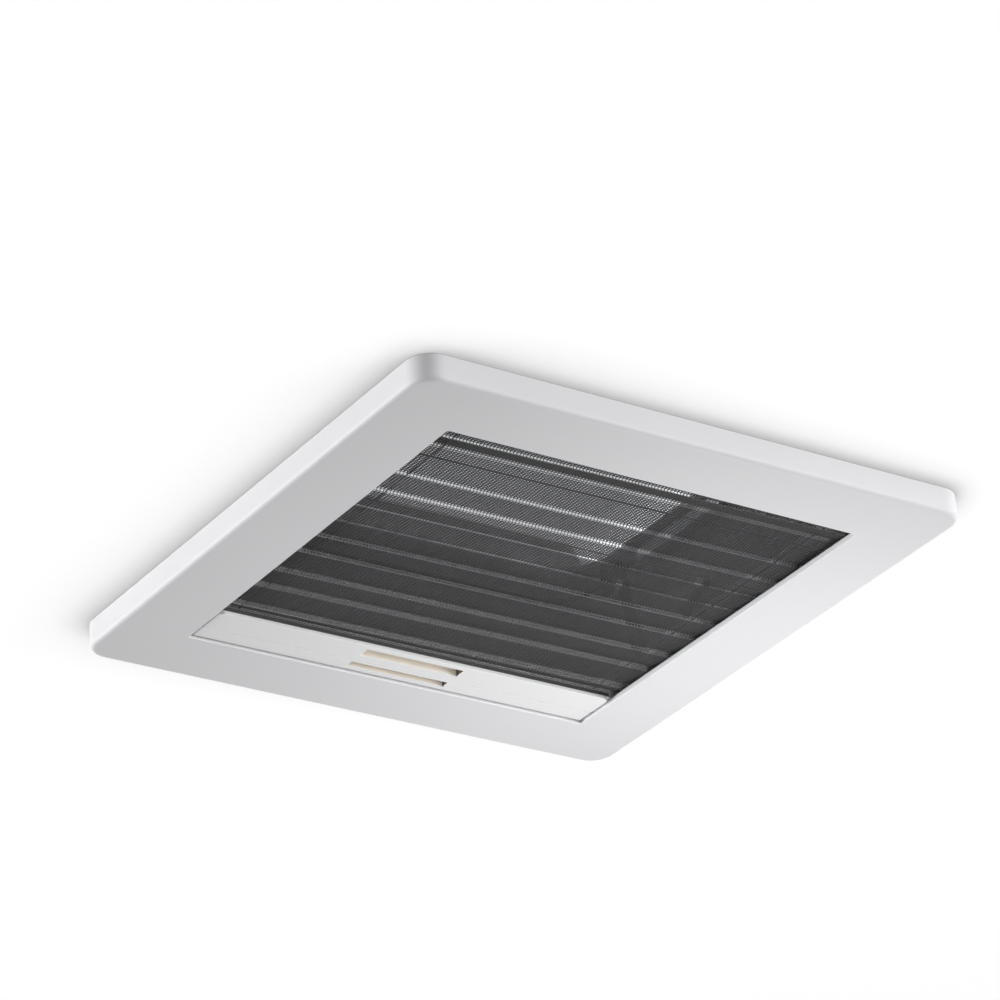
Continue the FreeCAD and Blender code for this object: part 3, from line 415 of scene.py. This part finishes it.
screen_sag, screen_edge = 0.2, 0.4
screen_level = (screen_box[0][2] + screen_box[1][2]) / 2 - screen_sag
points, faces, crease_highlight, screen_length = woven(
    pleat_line + [0, screen_level], screen_box[1][0] - screen_edge, warp_pitch=2.2,
    weft_pitch=1.7, warp=0.50, weft=0.48, skew=-0.0148)
bar_corner = np.array(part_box("flyscreen_bar")[0]) * 1000
hem_reach, hem_gap, hem_rise, hem_height, hem_thickness = 137.5, 0.45, 3.9, 3.4, 0.4
hem = np.linspace((-hem_reach, bar_corner[1] - hem_gap, bar_corner[2] + hem_rise),
                  (hem_reach, bar_corner[1] - hem_gap, bar_corner[2] + hem_rise), 9)[None]
upright, forward = np.zeros_like(hem), np.zeros_like(hem)
upright[..., 2], forward[..., 1] = 1, -1
more, walls = box_threads(hem, upright, forward, hem_height, hem_thickness)
faces = np.vstack([faces, walls + len(points)])
points = np.vstack([points, more])
crease_highlight = np.concatenate([crease_highlight, np.zeros(len(walls))])
screen_mesh, tree, shader = moulded("screen_mesh", (0.070, 0.070, 0.072), 0.6, grain=0.0006,
                                    depth=0.00006, drift=0.15)
shader.inputs["Specular IOR Level"].default_value = 0.2
flyscreen = mesh_piece("flyscreen_mesh", points * 0.001, faces, screen_mesh)
flyscreen.data.attributes.new("crease_highlight", "FLOAT", "FACE").data.foreach_set("value", crease_highlight)
painted_highlight = tree.nodes.new("ShaderNodeAttribute")
painted_highlight.attribute_name = "crease_highlight"
# Painted highlight: the yarn on the marked drop faces is painted lighter grey.
tinted(tree, painted_highlight.outputs["Fac"], (0.20, 0.20, 0.202))
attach(flyscreen, "root")
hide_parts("flyscreen")
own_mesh(flyscreen)

# --- Blackout blind --------------------------------------------------------------------
# A pale pleated cloth at rest in its cassette behind the parked bar, forty-two tight
# folds. Drawn out with its bar, it opens until the folds lie almost flat.

blind_box = [np.array(corner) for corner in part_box("blackout_blind")]
facets, columns = 84, 9
fold_margin, edge_margin, cloth_thickness = 0.0001, 0.0002, 0.00012
# A blend follows a smooth step between two bodies. The folds are placed by its inverse,
# half less the sine of a third of the arc sine of one less twice the share, so that
# they stand evenly once the blind is drawn out.
share = np.linspace(0, 1, facets + 1)
spread = 0.5 - np.sin(np.arcsin(1 - 2 * share) / 3)
blind_y = blind_box[1][1] + (blind_box[0][1] - blind_box[1][1]) * spread
blind_z = np.where(np.arange(facets + 1) % 2, blind_box[1][2] - fold_margin,
                   blind_box[0][2] + fold_margin)
blind_x = np.linspace(blind_box[0][0] + edge_margin, blind_box[1][0] - edge_margin, columns)
points = np.stack([np.tile(blind_x, facets + 1), np.repeat(blind_y, columns),
                   np.repeat(blind_z, columns)], 1)
index = np.arange((facets + 1) * columns).reshape(facets + 1, columns)
faces = np.stack([index[:-1, :-1], index[1:, :-1], index[1:, 1:], index[:-1, 1:]], -1)
blind_cloth = moulded("blind_cloth", (0.70, 0.70, 0.69), 0.8, grain=0.0005, depth=0.00005,
                      drift=0.04)[0]
blind = mesh_piece("blind_cloth", points, faces.reshape(-1, 4), blind_cloth)
thick = blind.modifiers.new("thickness", "SOLIDIFY")
thick.thickness = cloth_thickness
thick.offset = 0
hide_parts("blackout_blind")
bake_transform(blind)

# --- Guide cords -----------------------------------------------------------------------
# Two twisted polyester cords, taut between the cassettes through both fabrics and both
# bars, with a knot at each end. The yarn has a fine uneven grain.

paint(lined("cord_black", (0.02, 0.02, 0.02), 0.7, 0, 0.0005, 0.0001, (1, 1, 1)),
      "guide_cords", "cord_knots")

# --- Roof flange and seals -------------------------------------------------------------
# The flange on the roof and its kerb are one moulding in grey weathered plastic, bedded
# on a butyl tape. A black rubber seal is pressed onto the kerb's edge.

paint(moulded("flange_plastic", (0.30, 0.30, 0.305), 0.6, drift=0.05)[0], "roof_flange")
paint(moulded("tape_rubber", (0.10, 0.10, 0.10), 0.8, grain=0.0008, depth=0.0001,
              drift=0.15)[0], "roof_seal")
paint(moulded("seal_rubber", (0.02, 0.02, 0.02), 0.7, grain=0.0003, depth=0.00003,
              drift=0.2)[0], "dome_seal")

# --- Dome frame and stay rails ---------------------------------------------------------
# The frame that carries both panes and its hinge knuckles are one moulding in grey
# plastic, and the slotted rails for the stays are glued under it.

paint(moulded("frame_plastic", (0.35, 0.35, 0.36), 0.55, drift=0.06)[0], "dome_frame",
      "stay_rail_left", "stay_rail_right")

# --- Panes -----------------------------------------------------------------------------
# Two panes of translucent acrylic with air between them, each vacuum-formed from a sheet
# and glued to the dome frame. The inner one is frosted beyond the latches.


def acrylic(name, colour, near, far, line):
    """Acrylic whose share of clear light turns smoothly from a near to a far value just
    before a line across Y. The surface is cloudy, so its roughness varies."""
    smoothest, roughest, cloud_scale, turn_width = 0.14, 0.26, 30, 0.002
    material, tree, shader = new_material(name)
    place, split = tree.nodes.new("ShaderNodeTexCoord"), tree.nodes.new("ShaderNodeSeparateXYZ")
    tree.links.new(place.outputs["Object"], split.inputs[0])
    clear = tree.nodes.new("ShaderNodeMapRange")
    clear.interpolation_type = "SMOOTHSTEP"
    clear.inputs["From Min"].default_value = line - turn_width
    clear.inputs["From Max"].default_value = line
    clear.inputs["To Min"].default_value = near
    clear.inputs["To Max"].default_value = far
    tree.links.new(split.outputs["Y"], clear.inputs["Value"])
    tree.links.new(clear.outputs[0], shader.inputs["Transmission Weight"])
    cloudy = tree.nodes.new("ShaderNodeTexNoise")
    cloudy.inputs["Scale"].default_value = cloud_scale
    tree.links.new(place.outputs["Object"], cloudy.inputs["Vector"])
    tree.links.new(between(tree, cloudy.outputs["Fac"], smoothest, roughest),
                   shader.inputs["Roughness"])
    shader.inputs["Base Color"].default_value = (*colour, 1)
    return material


latch_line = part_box("dome_inner")[1][1] - 0.0245
paint(acrylic("dome_acrylic", (0.95, 0.965, 0.975), 0.99, 0.99, latch_line), "dome_outer")
paint(acrylic("inner_acrylic", (0.96, 0.97, 0.98), 0.99, 0.40, latch_line), "dome_inner")

# --- Latches ---------------------------------------------------------------------------
# Two levers hang on the kerb and turn over catches under the dome frame, and two small
# hooks rest half raised on the carrier's sleeve. All are moulded in black plastic.

paint(moulded("lever_black", (0.02, 0.02, 0.022), 0.45, drift=0.08)[0], "latch_lever_left",
      "latch_lever_right", "vent_hook_left", "vent_hook_right", "latch_catches")

# --- Stays and pins --------------------------------------------------------------------
# The stay arms and their pegs are rolled steel with fine lines along them, and the pins
# of hinges, stays and levers are turned steel with fine rings.

paint(lined("stay_steel", (0.50, 0.50, 0.51), 0.35, 1, 0.0003, 0.00001, (1, 0.04, 1)),
      "stay_arm_left", "stay_arm_right", "stay_peg_left", "stay_peg_right")
paint(lined("pin_steel", (0.62, 0.62, 0.63), 0.3, 1, 0.0003, 0.00001, (1, 0.1, 0.1)),
      "hinge_pins", "stay_pivot_pins", "lever_pins")
